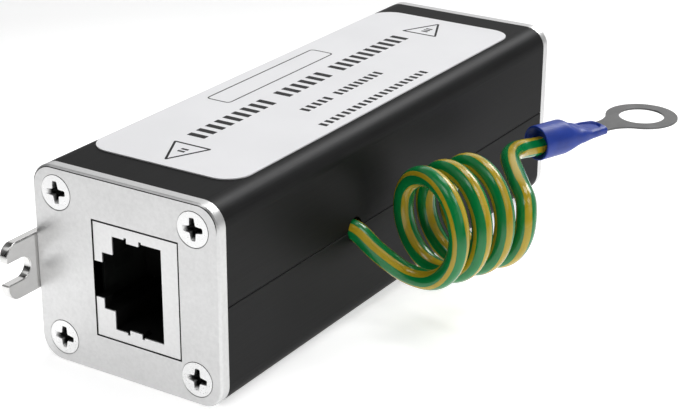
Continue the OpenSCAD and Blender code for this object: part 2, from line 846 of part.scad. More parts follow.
// Metal inside the sleeve: barrel, pressed blade and the start of the tongue
module terminal_core(spare) {
    along_y(barrel_y - spare, crimp_y - barrel_y + 2 * spare)
        circle(d = sleeve_d - 2 * sleeve_wall - 2 * fit + 2 * spare);
    along_y(crimp_y - spare, blade_end_y - crimp_y + 2 * spare)
        translate([0, tongue_top - ring_t / 2])
            square([crimp_blade_w + 2 * spare, crimp_h + 2 * spare], center = true);
    along_y(blade_end_y - eps, sleeve_l - blade_end_y + 2 * eps)
        translate([-neck_x, tongue_top - ring_t / 2])
            square([neck_w + 2 * spare, ring_t + 2 * spare], center = true);
}

module terminal_sleeve() {
    color(sleeve_blue) at_terminal() difference() {
        sleeve_body();
        along_y(-eps, barrel_y + eps) circle(d = sleeve_d - 2 * sleeve_wall);
        terminal_core(fit);
    }
}

// Fillet on one side of the neck, from its centre across the terminal
module neck_fillet(across) {
    along = ring_y - sqrt(pow(ring_d / 2 + neck_r - fit, 2) - pow(across, 2));
    difference() {
        polygon([[-neck_x, along], [across, along], [0, ring_y]]);
        translate([across, along]) circle(neck_r);
    }
}

// Ring with its neck, and fillets where the neck meets the ring
module ring_outline() {
    difference() {
        union() {
            translate([0, ring_y]) circle(d = ring_d);
            translate([-neck_x - neck_w / 2, sleeve_l]) square([neck_w, ring_y - sleeve_l]);
            for (sx = [-1, 1]) neck_fillet(sx * (neck_w / 2 + neck_r) - neck_x);
        }
        translate([0, ring_y]) circle(d = ring_hole_d);
    }
}

module ring_terminal() {
    color(ring_grey) at_terminal() {
        terminal_core(0);
        translate([0, 0, tongue_top - ring_t]) linear_extrude(ring_t) ring_outline();
    }
}

GAS_TUBES = [for (i = [1 : pairs]) str("gas_tube_", i)];
SUPPRESSORS = [for (i = [1 : pairs]) str("suppressor_", i)];
RESISTORS = [for (i = [1 : 2 * pairs]) str("line_resistor_", i)];

upper_shell();
lower_shell();
front_plate();
rear_plate();
front_plate_screws();
rear_plate_screws();
label();
mounting_strip();
strip_screws();
circuit_board();
input_jack_housing();
input_jack_insert();
input_jack_contacts();
input_jack_shield();
output_jack_housing();
output_jack_insert();
output_jack_contacts();
output_jack_shield();
solder_cup();
inner_earth_wire();
earth_lead();
earth_coil();
earth_tail();
terminal_sleeve();
ring_terminal();
for (i = [0 : pairs - 1]) {
    gas_tube(channels[i]);
    suppressor(channels[i]);
}
for (i = [0 : 2 * pairs - 1])
    line_resistor(channels[floor(i / 2)] + resistor_offsets[i % 2]);
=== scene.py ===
"""Dresses the inline surge protector: camera, earth wire, fittings, finishes and studio."""

from math import copysign, cos, pi, radians, sin

import bmesh
import bpy
from mathutils import Matrix, Vector


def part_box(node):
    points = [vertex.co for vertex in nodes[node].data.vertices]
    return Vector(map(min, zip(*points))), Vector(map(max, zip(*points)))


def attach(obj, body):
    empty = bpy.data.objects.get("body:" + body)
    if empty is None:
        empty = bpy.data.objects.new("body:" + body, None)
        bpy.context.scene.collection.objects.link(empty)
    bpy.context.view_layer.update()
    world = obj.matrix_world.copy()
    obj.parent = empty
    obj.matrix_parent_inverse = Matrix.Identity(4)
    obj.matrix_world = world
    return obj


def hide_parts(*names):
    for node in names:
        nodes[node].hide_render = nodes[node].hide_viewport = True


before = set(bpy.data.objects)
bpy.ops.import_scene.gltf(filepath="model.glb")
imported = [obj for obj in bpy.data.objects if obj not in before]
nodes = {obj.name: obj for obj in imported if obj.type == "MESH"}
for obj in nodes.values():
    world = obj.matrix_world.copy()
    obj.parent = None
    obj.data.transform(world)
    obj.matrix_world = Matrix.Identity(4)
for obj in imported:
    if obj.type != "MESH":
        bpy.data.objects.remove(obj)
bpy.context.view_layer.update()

MM = 0.001
ROOT = "root"


def mm(*values):
    """A point given in millimetres, in metres."""
    return Vector(values) * MM


def box_mm(node):
    """Lowest and highest corner of a CAD node, in millimetres."""
    return [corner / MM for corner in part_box(node)]


def limited(value):
    """The value, kept between 0 and 1."""
    return max(0.0, min(1.0, value))


def turns(count):
    """Angles all the way round, in so many equal steps."""
    return [2 * pi * k / count for k in range(count)]


def soft_lookup(place, table):
    """Value from a table of places and values, with soft passages between them."""
    for (y0, v0), (y1, v1) in zip(table, table[1:]):
        if place <= y1:
            t = limited((place - y0) / (y1 - y0))
            return v0 + (v1 - v0) * t * t * (3 - 2 * t)
    return table[-1][1]


def new_object(name, data):
    """An object in the scene that holds the data."""
    item = bpy.data.objects.new(name, data)
    bpy.context.collection.objects.link(item)
    return item


def plug(tree, value, socket):
    """Gives an input what it reads: a socket, a node's first output or a plain value."""
    if isinstance(value, bpy.types.Node):
        value = value.outputs[0]
    if isinstance(value, bpy.types.NodeSocket):
        tree.links.new(value, socket)
    else:
        socket.default_value = value


def new_node(tree, kind, links=(), **settings):
    """Adds a node; links say by name or place what its inputs read."""
    node = tree.nodes.new(kind)
    for name, value in settings.items():
        setattr(node, name, value)
    for key, value in dict(links).items():
        plug(tree, value, node.inputs[key])
    return node


# The camera

CAMERA_PLACE = mm(119.13, -181.41, 99.35)
CAMERA_AZIMUTH = radians(32.538)
CAMERA_ELEVATION = radians(22.683)
CAMERA_ROLL = radians(0.194)
# Lens and sensor in mm, and the nearest distance that it sees in metres
CAMERA_LENS, CAMERA_SENSOR, CAMERA_NEAREST = 92.6, 36, 0.01


def set_camera():
    """Stands the camera where the photograph was taken from."""
    back = Vector((
        sin(CAMERA_AZIMUTH) * cos(CAMERA_ELEVATION),
        -cos(CAMERA_AZIMUTH) * cos(CAMERA_ELEVATION),
        sin(CAMERA_ELEVATION),
    ))
    level = Vector((cos(CAMERA_AZIMUTH), sin(CAMERA_AZIMUTH), 0))
    above = back.cross(level)
    right = level * cos(CAMERA_ROLL) + above * sin(CAMERA_ROLL)
    up = above * cos(CAMERA_ROLL) - level * sin(CAMERA_ROLL)
    lens = bpy.data.cameras.new("product_camera")
    lens.lens = CAMERA_LENS
    lens.sensor_width = CAMERA_SENSOR
    lens.clip_start = CAMERA_NEAREST
    camera = new_object("product_camera", lens)
    turn = Matrix((right, up, back)).transposed().to_4x4()
    camera.matrix_world = Matrix.Translation(CAMERA_PLACE) @ turn
    bpy.context.scene.camera = camera


set_camera()

# Helpers for the pieces

# Points of a made mesh, and of a CAD node, are merged where they are this near, in mm
MADE_MERGE, CAD_MERGE = 0.0001, 0.001


def add_piece(name, mesh, material=None, stands_for=()):
    """Puts a mesh into the scene as a piece of the body, in place of CAD nodes."""
    piece = new_object(name, mesh)
    if material:
        mesh.materials.clear()
        mesh.materials.append(material)
    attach(piece, ROOT)
    if stands_for:
        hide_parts(*stands_for)
    return piece


def mesh_from(name, points, faces):
    """A mesh of points in metres and of faces that name them."""
    mesh = bpy.data.meshes.new(name)
    mesh.from_pydata([tuple(point) for point in points], [], faces)
    mesh.validate()
    mesh.update()
    return mesh


def skinned(name, rings):
    """A closed mesh over rings of points, flat at its two ends."""
    count = len(rings[0])
    last = (len(rings) - 1) * count
    faces = [(r + k, r + (k + 1) % count, r + count + (k + 1) % count, r + count + k)
             for r in range(0, last, count) for k in range(count)]
    faces.append(tuple(reversed(range(count))))
    faces.append(tuple(range(last, last + count)))
    return mesh_from(name, [point for ring in rings for point in ring], faces)


def is_sharp(edge, degrees):
    """Whether two faces meet at an edge with more than so many degrees between them."""
    return edge.is_manifold and edge.calc_face_angle(0) > radians(degrees)


def outward(mesh, smooth=False, sharp=None):
    """Turns all faces outwards and sets how they shade."""
    shape = bmesh.new()
    shape.from_mesh(mesh)
    bmesh.ops.remove_doubles(shape, verts=shape.verts, dist=MADE_MERGE * MM)
    bmesh.ops.recalc_face_normals(shape, faces=shape.faces)
    for face in shape.faces:
        face.smooth = smooth
    if sharp is not None:
        for edge in shape.edges:
            if is_sharp(edge, sharp):
                edge.smooth = False
    shape.to_mesh(mesh)
    shape.free()
    return mesh


def settled(source):
    """The plain mesh that an object's modifiers make; the object itself goes."""
    graph = bpy.context.evaluated_depsgraph_get()
    mesh = bpy.data.meshes.new_from_object(source.evaluated_get(graph), depsgraph=graph)
    data = source.data
    store = bpy.data.curves if isinstance(data, bpy.types.Curve) else bpy.data.meshes
    bpy.data.objects.remove(source)
    store.remove(data)
    return mesh


def grow(tree, data, values):
    """Runs a geometry tree on some data with the named inputs, and keeps its mesh."""
    source = new_object(tree.name, data)
    modifier = source.modifiers.new(tree.name, "NODES")
    modifier.node_group = tree
    for item in tree.interface.items_tree:
        if item.item_type == "SOCKET" and item.in_out == "INPUT" and item.name in values:
            modifier[item.identifier] = values[item.name]
    return settled(source)


class Tree:
    """A geometry tree under construction."""

    def __init__(self, name, inputs):
        self.group = bpy.data.node_groups.new(name, "GeometryNodeTree")
        sockets = self.group.interface
        for title, kind, value in [("Geometry", "Geometry", None), *inputs]:
            socket = sockets.new_socket(title, in_out="INPUT", socket_type="NodeSocket" + kind)
            if value is not None:
                socket.default_value = value
        sockets.new_socket("Geometry", in_out="OUTPUT", socket_type="NodeSocketGeometry")
        self.inputs = self.add("NodeGroupInput").outputs
        self.output = self.add("NodeGroupOutput").inputs

    def add(self, kind, links=(), **settings):
        """Adds a node to the tree."""
        return new_node(self.group, kind, links, **settings)

    def finish(self, geometry):
        """Ends the tree in real geometry with the material that is handed in."""
        real = self.add("GeometryNodeRealizeInstances", {"Geometry": geometry})
        done = self.add("GeometryNodeSetMaterial", {
            "Geometry": real, "Material": self.inputs["Material"]})
        plug(self.group, done, self.output["Geometry"])
        return self.group


# Eased edges

# In degrees: an edge of more than the first is eased, and one of less than the second goes
EASED_ANGLE, FLAT_ANGLE = 25, 0.5
EASED_SEGMENTS = 2
# A flat face of more than this many square millimetres stays flat in its shading
WIDE_FACE = 1.0
# Narrow faces that turn less than this many degrees from each other shade into each other
SHADED_ANGLE = 50
# Digits of a normal, and of a distance in mm, that tell one flat face's plane from another's
PLANE_DIGITS = 2


def flat_shaded(mesh):
    """Normals that keep wide flat faces flat and blend the narrow ones between them."""
    planes = [tuple(round(c, PLANE_DIGITS)
                    for c in (*face.normal, face.normal.dot(face.center) / MM))
              for face in mesh.polygons]
    area = {}
    around = [[] for vertex in mesh.vertices]
    for face, plane in zip(mesh.polygons, planes):
        area[plane] = area.get(plane, 0.0) + face.area / MM ** 2
        for vertex in face.vertices:
            around[vertex].append(face)
    normals = [None] * len(mesh.loops)
    for face, plane in zip(mesh.polygons, planes):
        for loop, vertex in zip(face.loop_indices, face.vertices):
            close = [other for other in around[vertex]
                     if other.normal.dot(face.normal) > cos(radians(SHADED_ANGLE))] or [face]
            widest = max(close, key=lambda other: area[planes[other.index]])
            if area[plane] > WIDE_FACE:
                normals[loop] = face.normal.copy()
            elif area[planes[widest.index]] > WIDE_FACE:
                normals[loop] = widest.normal.copy()
            else:
                mean = sum((other.normal * other.area for other in close), Vector())
                normals[loop] = mean.normalized()
    mesh.normals_split_custom_set(normals)
    return mesh


def eased(node, edge_mm):
    """A copy of a CAD node whose sharp edges are eased by a small radius."""
    shape = bmesh.new()
    shape.from_mesh(nodes[node].data)
    bmesh.ops.remove_doubles(shape, verts=shape.verts, dist=CAD_MERGE * MM)
    bmesh.ops.dissolve_limit(shape, angle_limit=radians(FLAT_ANGLE),
                             verts=shape.verts, edges=shape.edges)
    weights = shape.edges.layers.float.new("bevel_weight_edge")
    for face in shape.faces:
        face.smooth = True
    for edge in shape.edges:
        if is_sharp(edge, EASED_ANGLE):
            edge[weights] = 1.0
    mesh = bpy.data.meshes.new(node)
    shape.to_mesh(mesh)
    shape.free()
    source = new_object(node, mesh)
    bevel = source.modifiers.new("edge", "BEVEL")
    bevel.limit_method = "WEIGHT"
    bevel.width = edge_mm * MM
    bevel.segments = EASED_SEGMENTS
    bevel.use_clamp_overlap = False
    split = source.modifiers.new("split", "TRIANGULATE")
    # Only faces of more than four sides are split
    split.min_vertices = 5
    split.ngon_method = "CLIP"
    return flat_shaded(settled(source))


def eased_piece(name, node, edge_mm, finish):
    """A piece that is a node's own solid with its sharp edges eased."""
    return add_piece(name, eased(node, edge_mm), finish, stands_for=(node,))


# Helpers for finishes

# The middle part of a noise's range, over which a tone or a roughness goes from end to end
WIDE, NARROW = (0.3, 0.7), (0.35, 0.65)
# Half the width of the passage between two finishes of one small part, in mm
PASSAGE = 0.01


def grey(value):
    """A grey colour in the shader's own scale."""
    return (value, value, value)


def darker(colour, share):
    """A colour with only a share of its light."""
    return tuple(share * part for part in colour)


def screen(*colour):
    """A colour as seen on a screen, 0 to 255, in the shader's own scale."""
    parts = [value / 255 for value in colour]
    return tuple(part / 12.92 if part <= 0.04045 else ((part + 0.055) / 1.055) ** 2.4
                 for part in parts)


class Finish:
    """A material under construction: one surface shader and what feeds it."""

    def __init__(self, name, **values):
        self.material = bpy.data.materials.new(name)
        self.material.use_nodes = True
        self.tree = self.material.node_tree
        self.tree.nodes.clear()
        self.shader = self.add("ShaderNodeBsdfPrincipled")
        self.add("ShaderNodeOutputMaterial", {"Surface": self.shader})
        self.place = self.add("ShaderNodeTexCoord").outputs["Object"]
        self.feed(**values)

    def add(self, kind, links=(), **settings):
        """Adds a node to the material."""
        return new_node(self.tree, kind, links, **settings)

    def math(self, operation, a, b=0.0, c=0.0, clamp=False):
        """One sum with values or sockets."""
        return self.add("ShaderNodeMath", {0: a, 1: b, 2: c}, operation=operation,
                        use_clamp=clamp).outputs[0]

    def mean(self, first, share, second):
        """Mean of two values, in which the first has a share and the second the rest."""
        return self.math("ADD", self.math("MULTIPLY", first, share),
                         self.math("MULTIPLY", second, 1 - share))

    def distance(self, a, b):
        """Length of the straight way that goes a to the side and b up."""
        squares = [self.math("MULTIPLY", side, side) for side in (a, b)]
        return self.math("SQRT", self.math("ADD", *squares))

    def parts(self, vector):
        """The three parts of a vector."""
        return self.add("ShaderNodeSeparateXYZ", {"Vector": vector}).outputs

    def carried(self, name):
        """The three parts of a vector that the mesh carries under a name."""
        return self.parts(self.add("ShaderNodeAttribute", attribute_name=name).outputs["Vector"])

    def coordinate(self, axis):
        """The place along an axis, in mm."""
        return self.math("MULTIPLY", self.parts(self.place)[axis], 1 / MM)

    def past(self, axis, middle, half):
        """How far a place is beyond a half size on either side of a middle, in mm."""
        off = self.math("ABSOLUTE", self.math("SUBTRACT", self.coordinate(axis), middle))
        return self.math("SUBTRACT", off, half)

    def noise(self, per_mm, detail, rough, stretch=(1, 1, 1)):
        """Noise with so many features in a millimetre, drawn out along an axis."""
        scaled = self.add("ShaderNodeMapping", {"Vector": self.place, "Scale": stretch})
        return self.add("ShaderNodeTexNoise", {
            "Vector": scaled, "Scale": per_mm / MM,
            "Detail": detail, "Roughness": rough}).outputs["Fac"]

    def ramp(self, value, low, high, start=0.0, end=1.0):
        """Takes a value from the range low..high to the range start..end."""
        return self.add("ShaderNodeMapRange", {
            "Value": value, "From Min": low, "From Max": high,
            "To Min": start, "To Max": end}).outputs["Result"]

    def span(self, noise, start, end, spread=WIDE):
        """Takes a noise from start to end over the middle of its range."""
        return self.ramp(noise, *spread, start, end)

    def shade(self, noise, dark, light, spread=WIDE):
        """Takes a noise from a dark to a light colour over the middle of its range."""
        return self.blend(self.ramp(noise, *spread), dark, light)

    def blend(self, factor, first, second):
        """Mixes two colours, each a socket or a triple."""
        node = self.add("ShaderNodeMix", data_type="RGBA")
        sockets = [s for s in node.inputs if s.enabled and s.name in ("Factor", "A", "B")]
        for socket, value in zip(sockets, (factor, first, second)):
            plug(self.tree, (*value, 1.0) if isinstance(value, tuple) else value, socket)
        return next(s for s in node.outputs if s.enabled)

    def feed(self, **links):
        """Says what the shader's inputs read."""
        for title, value in links.items():
            plug(self.tree, value, self.shader.inputs[title.replace("_", " ")])

    def relief(self, height, depth_mm, strength):
        """Raises the surface by height times a depth in mm, which ends the material."""
        self.feed(Normal=self.add("ShaderNodeBump", {
            "Height": height, "Distance": depth_mm * MM, "Strength": strength}))
        return self.material


# Finishes of the case, the plates and the strip, sizes in mm

SOCKET_X, SOCKET_Z, SOCKET_W, SOCKET_H = 1.44, 12.4, 12.3, 14.7
# The plate's hole is shifted from the socket; the painted shade round it ends so far from the
# socket's size
HOLE_SHIFT, HOLE_SHADE_REACH = 0.10, 0.17
# Half the width of the painted shade line round the front of a socket's shield, where it meets
# the plate
PAINTED_SHADE_LINE = 0.04
PLATE_W, PLATE_H, PLATE_CORNER_R, PLATE_BREAK = 27, 25.4, 2.9, 0.25
# Half the width of the painted dark reflection along the plate's broken edge, and the height
# where it fades
PAINTED_BREAK_LINE, PAINTED_LINE_FADE = 0.05, (22.0, 23.2)
# Near black of the painted shade round a socket and its shield
PAINTED_SHADE = grey(0.004)


def past_socket(f, shift):
    """How far a place is outside a socket's face, or inside it below zero, in mm."""
    return f.math("MAXIMUM", f.past("X", SOCKET_X + shift, SOCKET_W / 2),
                  f.past("Z", SOCKET_Z + shift, SOCKET_H / 2))


def past_plate(f):
    """How far a place is past an end plate's outline, or inside it below zero, in mm."""
    sides = [f.math("MAXIMUM", 0.0, f.past(axis, middle, size / 2 - PLATE_CORNER_R))
             for axis, middle, size in (("X", 0, PLATE_W), ("Z", PLATE_H / 2, PLATE_H))]
    return f.math("SUBTRACT", f.distance(*sides), PLATE_CORNER_R)


def black_anodised():
    """Satin black oxide over an extruded profile, with its faint drawing lines."""
    f = Finish("black_anodised", Metallic=0.85, IOR=1.5, Specular_IOR_Level=0.2,
               Specular_Tint=(0.52, 0.52, 0.52, 1.0))
    lines = f.noise(6, 2, 0.6, (1, 0.012, 1))
    cloud = f.noise(0.12, 3, 0.5)
    grain = f.noise(14, 2, 0.6)
    f.feed(Base_Color=f.shade(f.mean(lines, 0.5, cloud), (0.026, 0.026, 0.0263),
                              (0.032, 0.032, 0.0325), NARROW),
           Roughness=f.span(f.mean(grain, 0.6, cloud), 0.38, 0.47))
    return f.relief(f.mean(lines, 0.6, grain), 0.006, 0.5)


def satin_aluminium():
    """Bare plate, finely blasted, with painted shade in the narrow opening round the socket and
    a painted dark reflection along the top of its broken edge.
    """
    f = Finish("satin_aluminium", Metallic=1.0)
    blast = f.noise(9, 3, 0.65)
    rolled = f.noise(3, 2, 0.5, (0.06, 1, 1))
    cloud = f.mean(f.noise(0.15, 2, 0.5), 0.4, f.noise(2.4, 1, 0.5))
    bare = f.shade(cloud, grey(0.605), grey(0.675))
    # Painted shade between the plate's opening and the socket
    gap = f.math("LESS_THAN", past_socket(f, HOLE_SHIFT), HOLE_SHADE_REACH)
    # Painted reflection: a thin dark line along the broken edge, only near the plate's top
    off_edge = f.math("ABSOLUTE", f.math("ADD", past_plate(f), PLATE_BREAK))
    line = f.math("MULTIPLY", f.math("LESS_THAN", off_edge, PAINTED_BREAK_LINE),
                  f.ramp(f.coordinate("Z"), *PAINTED_LINE_FADE))
    f.feed(Base_Color=f.blend(f.math("MAXIMUM", gap, line), bare, PAINTED_SHADE),
           Roughness=f.span(f.mean(blast, 0.5, rolled), 0.30, 0.40))
    return f.relief(f.mean(blast, 0.7, rolled), 0.004, 0.5)


def bright_nickel():
    """Polished plating on the strip, with faint handling haze."""
    f = Finish("bright_nickel", Metallic=1.0)
    haze = f.noise(0.5, 4, 0.6)
    fine = f.noise(5, 2, 0.6, (1, 0.2, 1))
    f.feed(Base_Color=f.shade(haze, (0.68, 0.676, 0.668), (0.74, 0.736, 0.727)),
           Roughness=f.span(f.mean(haze, 0.6, fine), 0.12, 0.22, NARROW))
    return f.relief(fine, 0.002, 0.4)


# Finish of the screws, sizes in mm

HEAD_R = 2.2
# Turning rings, as radians a millimetre, and how high they stand against the spots
TURNING, TURNING_SHARE = 40.0, 0.15
# Painted shade in the recess: the depths and the radii over which it sets in
PAINTED_SHADE_DEPTHS, PAINTED_SHADE_RADII = (0.10, 0.50), (1.6, 1.5)
# Painted shade at the rim, where the head meets the countersink: the radii and the depths over
# which it sets in
RIM_RADII, RIM_DEPTHS = (HEAD_R - 0.10, HEAD_R - 0.05), (0.0, 0.03)


def bright_zinc():
    """Plated screws with turning rings on their heads, with painted shade in the recess and at
    the rim.
    """
    f = Finish("bright_zinc", Metallic=1.0)
    own = f.carried("turned")
    radius = f.distance(own["X"], own["Y"])
    rings = f.math("SINE", f.math("MULTIPLY", radius, TURNING))
    spots = f.noise(4, 3, 0.6)
    # Painted shade: near black deep in the driver's recess and in a thin ring at the head's rim
    recess_shade = f.math("MULTIPLY", f.ramp(own["Z"], *PAINTED_SHADE_DEPTHS), f.ramp(radius, *PAINTED_SHADE_RADII))
    rim = f.math("MULTIPLY", f.ramp(radius, *RIM_RADII), f.ramp(own["Z"], *RIM_DEPTHS))
    f.feed(Base_Color=f.blend(f.math("MAXIMUM", recess_shade, rim),
                              f.shade(spots, grey(0.80), grey(0.86)), grey(0.010)),
           Roughness=f.span(spots, 0.26, 0.36, NARROW))
    return f.relief(f.math("ADD", f.math("MULTIPLY", rings, TURNING_SHARE), spots), 0.004, 0.5)


# Finishes of the label, the sockets and the board


def label_film():
    """Satin printed film."""
    f = Finish("label_film", IOR=1.46)
    fibre = f.noise(12, 3, 0.6)
    cloud = f.noise(0.08, 2, 0.5)
    f.feed(Base_Color=f.shade(cloud, screen(230, 230, 232), screen(235, 235, 237)),
           Roughness=f.span(fibre, 0.42, 0.52))
    return f.relief(fibre, 0.003, 0.4)


def printing_ink():
    """Black ink, duller than the film it lies on."""
    f = Finish("printing_ink", IOR=1.46, Specular_IOR_Level=0.12)
    grain = f.noise(20, 2, 0.6)
    f.feed(Base_Color=f.shade(grain, grey(0.008), (0.016, 0.016, 0.017)),
           Roughness=f.span(grain, 0.40, 0.5))
    return f.relief(grain, 0.002, 0.3)


def tinned_sheet(name, tone, rough):
    """Sheet with a dull bright tin coat, streaked by the rolling, with a painted shade line
    round the front of a socket's shield.
    """
    f = Finish(name, Metallic=0.85)
    streak = f.noise(2.5, 3, 0.55, (1, 1, 0.08))
    flow = f.noise(2.0, 1, 0.5)
    bare = f.shade(flow, grey(tone - 0.02), grey(tone + 0.02))
    # Painted shade: a thin dark line along the outline of the socket's face
    shield_shade_line = f.math("LESS_THAN", f.math("ABSOLUTE", past_socket(f, 0)), PAINTED_SHADE_LINE)
    f.feed(Base_Color=f.blend(shield_shade_line, bare, PAINTED_SHADE),
           Roughness=f.span(f.mean(streak, 0.5, flow), rough, rough + 0.05, NARROW))
    return f.relief(streak, 0.003, 0.4)


def black_moulding():
    """Black moulded plastic with a fine grain."""
    f = Finish("black_moulding", IOR=1.5, Specular_IOR_Level=0.25)
    grain = f.noise(10, 3, 0.6)
    cloud = f.noise(0.6, 2, 0.5)
    f.feed(Base_Color=f.shade(cloud, grey(0.003), grey(0.005)),
           Roughness=f.span(grain, 0.42, 0.58))
    return f.relief(grain, 0.006, 0.5)


def gold_plating():
    """Gold on the contacts, wiped along their length."""
    f = Finish("gold_plating", Metallic=1.0)
    wipe = f.noise(3, 3, 0.55, (1, 0.1, 1))
    f.feed(Base_Color=f.shade(wipe, (0.80, 0.55, 0.20), (0.90, 0.66, 0.28)),
           Roughness=f.span(wipe, 0.16, 0.3))
    return f.relief(wipe, 0.002, 0.4)


# Traces on the board: how many in a millimetre, and where in a cell their rim lies
TRACES, TRACE_RIM = 0.45, (0.40, 0.46)


def board_laminate():
    """Black solder mask over traces that run along and across the board."""
    f = Finish("board_laminate", IOR=1.5, Coat_Weight=0.4, Coat_Roughness=0.15)
    cells = f.add("ShaderNodeTexVoronoi", {"Vector": f.place, "Scale": TRACES / MM},
                  feature="F1", distance="CHEBYCHEV")
    rim = f.ramp(cells.outputs["Distance"], *TRACE_RIM)
    glass = f.noise(3, 2, 0.5)
    mask = f.blend(rim, screen(24, 26, 25), screen(34, 37, 35))
    f.feed(Base_Color=f.blend(f.math("MULTIPLY", glass, 0.25), mask, screen(18, 19, 19)),
           Roughness=f.span(glass, 0.28, 0.4))
    return f.relief(rim, 0.02, 0.4)


# Finishes of the small parts on the board, sizes in mm

END_METAL = screen(205, 205, 208)
# How much lower than its metal caps the glazed body of a gas tube lies
CAP_STEP = 0.1
# Half the length of the black body of a suppressor and of a resistor
SUPPRESSOR_BODY, RESISTOR_BODY = 1.93, 1.07


def metal_ended(f, past_body, body, rough_body, rough_end):
    """Two finishes on one small part: its body, and metal where a place is past it."""
    grain = f.noise(8, 2, 0.6)
    is_end = f.ramp(past_body, -PASSAGE, PASSAGE)
    f.feed(Base_Color=f.blend(is_end, f.shade(grain, darker(body, 0.85), body), END_METAL),
           Metallic=is_end,
           Roughness=f.math("ADD", f.ramp(is_end, 0, 1, rough_body, rough_end),
                            f.span(grain, 0.0, 0.08)))
    return f.relief(grain, 0.003, 0.4)


def gas_tube_finish(node):
    """Glazed tube between metal caps, told apart by how far they are from its axis."""
    low, high = box_mm(node)
    radius = (high.z - low.z) / 2
    f = Finish("glazed_" + node, IOR=1.5)
    away = f.distance(f.past("X", high.x - radius, 0), f.past("Z", low.z + radius, 0))
    past_body = f.math("SUBTRACT", away, radius - CAP_STEP)
    return metal_ended(f, past_body, screen(226, 219, 205), 0.22, 0.3)


def chip_finish(node, half):
    """Black package with metal ends past a height from its middle."""
    low, high = box_mm(node)
    f = Finish("package_" + node, IOR=1.5)
    past_body = f.past("Z", (low.z + high.z) / 2, half)
    return metal_ended(f, past_body, (0.02, 0.02, 0.022), 0.5, 0.32)


# Finishes of the wire and the terminal

STRIPES = 4
YELLOW_SHARE, THIN_SHARE = 0.46, 0.28
# How far a stripe wanders, as a part of one repeat, and how crisp its edge is
STRIPE_DRIFT, STRIPE_CRISP = 0.04, 25.0
INSULATION_GREEN = screen(0, 130, 64)
INSULATION_YELLOW = screen(188, 162, 32)


def striped_insulation(name, angle):
    """Glossy insulation, green with yellow stripes along the wire, one of them thin."""
    f = Finish(name, IOR=1.5, Specular_IOR_Level=0.35, Coat_Weight=0.35, Coat_Roughness=0.05)
    repeats = f.math("MULTIPLY", angle(f), STRIPES / (2 * pi))
    drift = f.ramp(f.noise(0.35, 2, 0.5), 0, 1, -STRIPE_DRIFT, STRIPE_DRIFT)
    share = f.math("FRACT", f.math("ADD", repeats, drift))
    # Distance from the middle of the yellow stripe, as a part of one repeat
    off = f.math("ABSOLUTE", f.math("SUBTRACT", share, 0.5))
    # The first repeat has the thin stripe
    thin = f.math("COMPARE", f.math("FLOOR", repeats), 0.0, 0.5)
    edge = f.ramp(thin, 0.0, 1.0, YELLOW_SHARE / 2, THIN_SHARE / 2)
    green = f.math("MULTIPLY_ADD", f.math("SUBTRACT", off, edge), STRIPE_CRISP, 0.5, clamp=True)
    cloud = f.noise(0.25, 1, 0.5)
    yellow_tone = f.shade(cloud, darker(INSULATION_YELLOW, 0.86), INSULATION_YELLOW)
    green_tone = f.shade(cloud, darker(INSULATION_GREEN, 0.82), INSULATION_GREEN)
    f.feed(Base_Color=f.blend(green, yellow_tone, green_tone),
           Roughness=f.span(cloud, 0.22, 0.28))
    return f.relief(f.noise(0.4, 0, 0.5), 0.01, 0.2)


def sheath_angle(f):
    """Angle around the wire, from the direction that its sheath carries."""
    around = f.carried("around")
    return f.math("ARCTAN2", around["Y"], around["X"])


def straight_angle(f):
    """Angle around the straight inner end of the wire, which runs along X."""
    low, high = box_mm("inner_earth_wire")
    middle = (low + high) / 2
    y = f.math("SUBTRACT", f.coordinate("Y"), middle.y)
    z = f.math("SUBTRACT", f.coordinate("Z"), middle.z)
    return f.math("ARCTAN2", z, y)


def blue_vinyl():
    """Soft insulating sleeve."""
    f = Finish("blue_vinyl", IOR=1.5, Specular_IOR_Level=0.42)
    cloud = f.noise(0.5, 3, 0.5)
    grain = f.noise(6, 3, 0.6)
    f.feed(Base_Color=f.shade(cloud, screen(18, 50, 142), screen(24, 60, 160)),
           Roughness=f.span(grain, 0.36, 0.44))
    return f.relief(f.math("ADD", cloud, f.math("MULTIPLY", grain, 0.3)), 0.015, 0.3)


def dull_tin():
    """Matte tin on the stamped ring, with fine press marks."""
    f = Finish("dull_tin", Metallic=0.9)
    press = f.noise(7, 3, 0.6)
    cloud = f.noise(0.5, 3, 0.5)
    f.feed(Base_Color=f.shade(cloud, grey(0.13), grey(0.16)),
           Roughness=f.span(press, 0.42, 0.55))
    return f.relief(press, 0.004, 0.5)


# Earth wire, sizes in mm

WIRE_D = 2.6
# The middle of the hole in the case, and the route's points from there
HOLE = Vector((13.5, -12.25, 12.7))
LEAD_ROUTE = [(-1.5, 0, 0), (0.25, 0, 0), (2, 0.25, -1.7), (4.5, 1, -3.7), (6.5, 1.5, -4.95)]
TAIL_ROUTE = [
    (18, 11.25, 2.55), (17.5, 12.25, 3.55), (16, 13.75, 4.05), (14.25, 16, 4.3),
    (12.25, 18.75, 4.3), (9.75, 22.5, 4.05), (8, 26.5, 3.3), (7.5, 29, 2.8),
    (7.75, 30.75, 2.55), (8.25, 32.25, 2.3), (9.5, 35.5, 2.3),
]
# The coil's end near the hole, the lean of its axis from Y, and its first and last angle
COIL_START = HOLE + Vector((8.1, 1.85, 1.05))
COIL_ANGLE = radians(20)
COIL_R = 6.4
COIL_PITCH = 3.7
COIL_FIRST = -pi / 2 + 0.25
COIL_LAST = 6 * pi - 0.05
COIL_STEPS = 120
# Steps between two points of the route, and the distance between two rings of the sheath
ROUTE_STEPS, WIRE_STEP = 4, 0.35
SHEATH_SIDES = 32
# Lengths of the free stretches before and after the coil
LEAD_LENGTH, TAIL_LENGTH = 16, 36
# How often the free stretches are relaxed, how much each time, over what length they come
# free, and how many points at the terminal stay where they are
RELAX_PASSES, RELAX_SHARE, RELAX_FADE, FIXED_POINTS = 20, 0.5, 4, 8
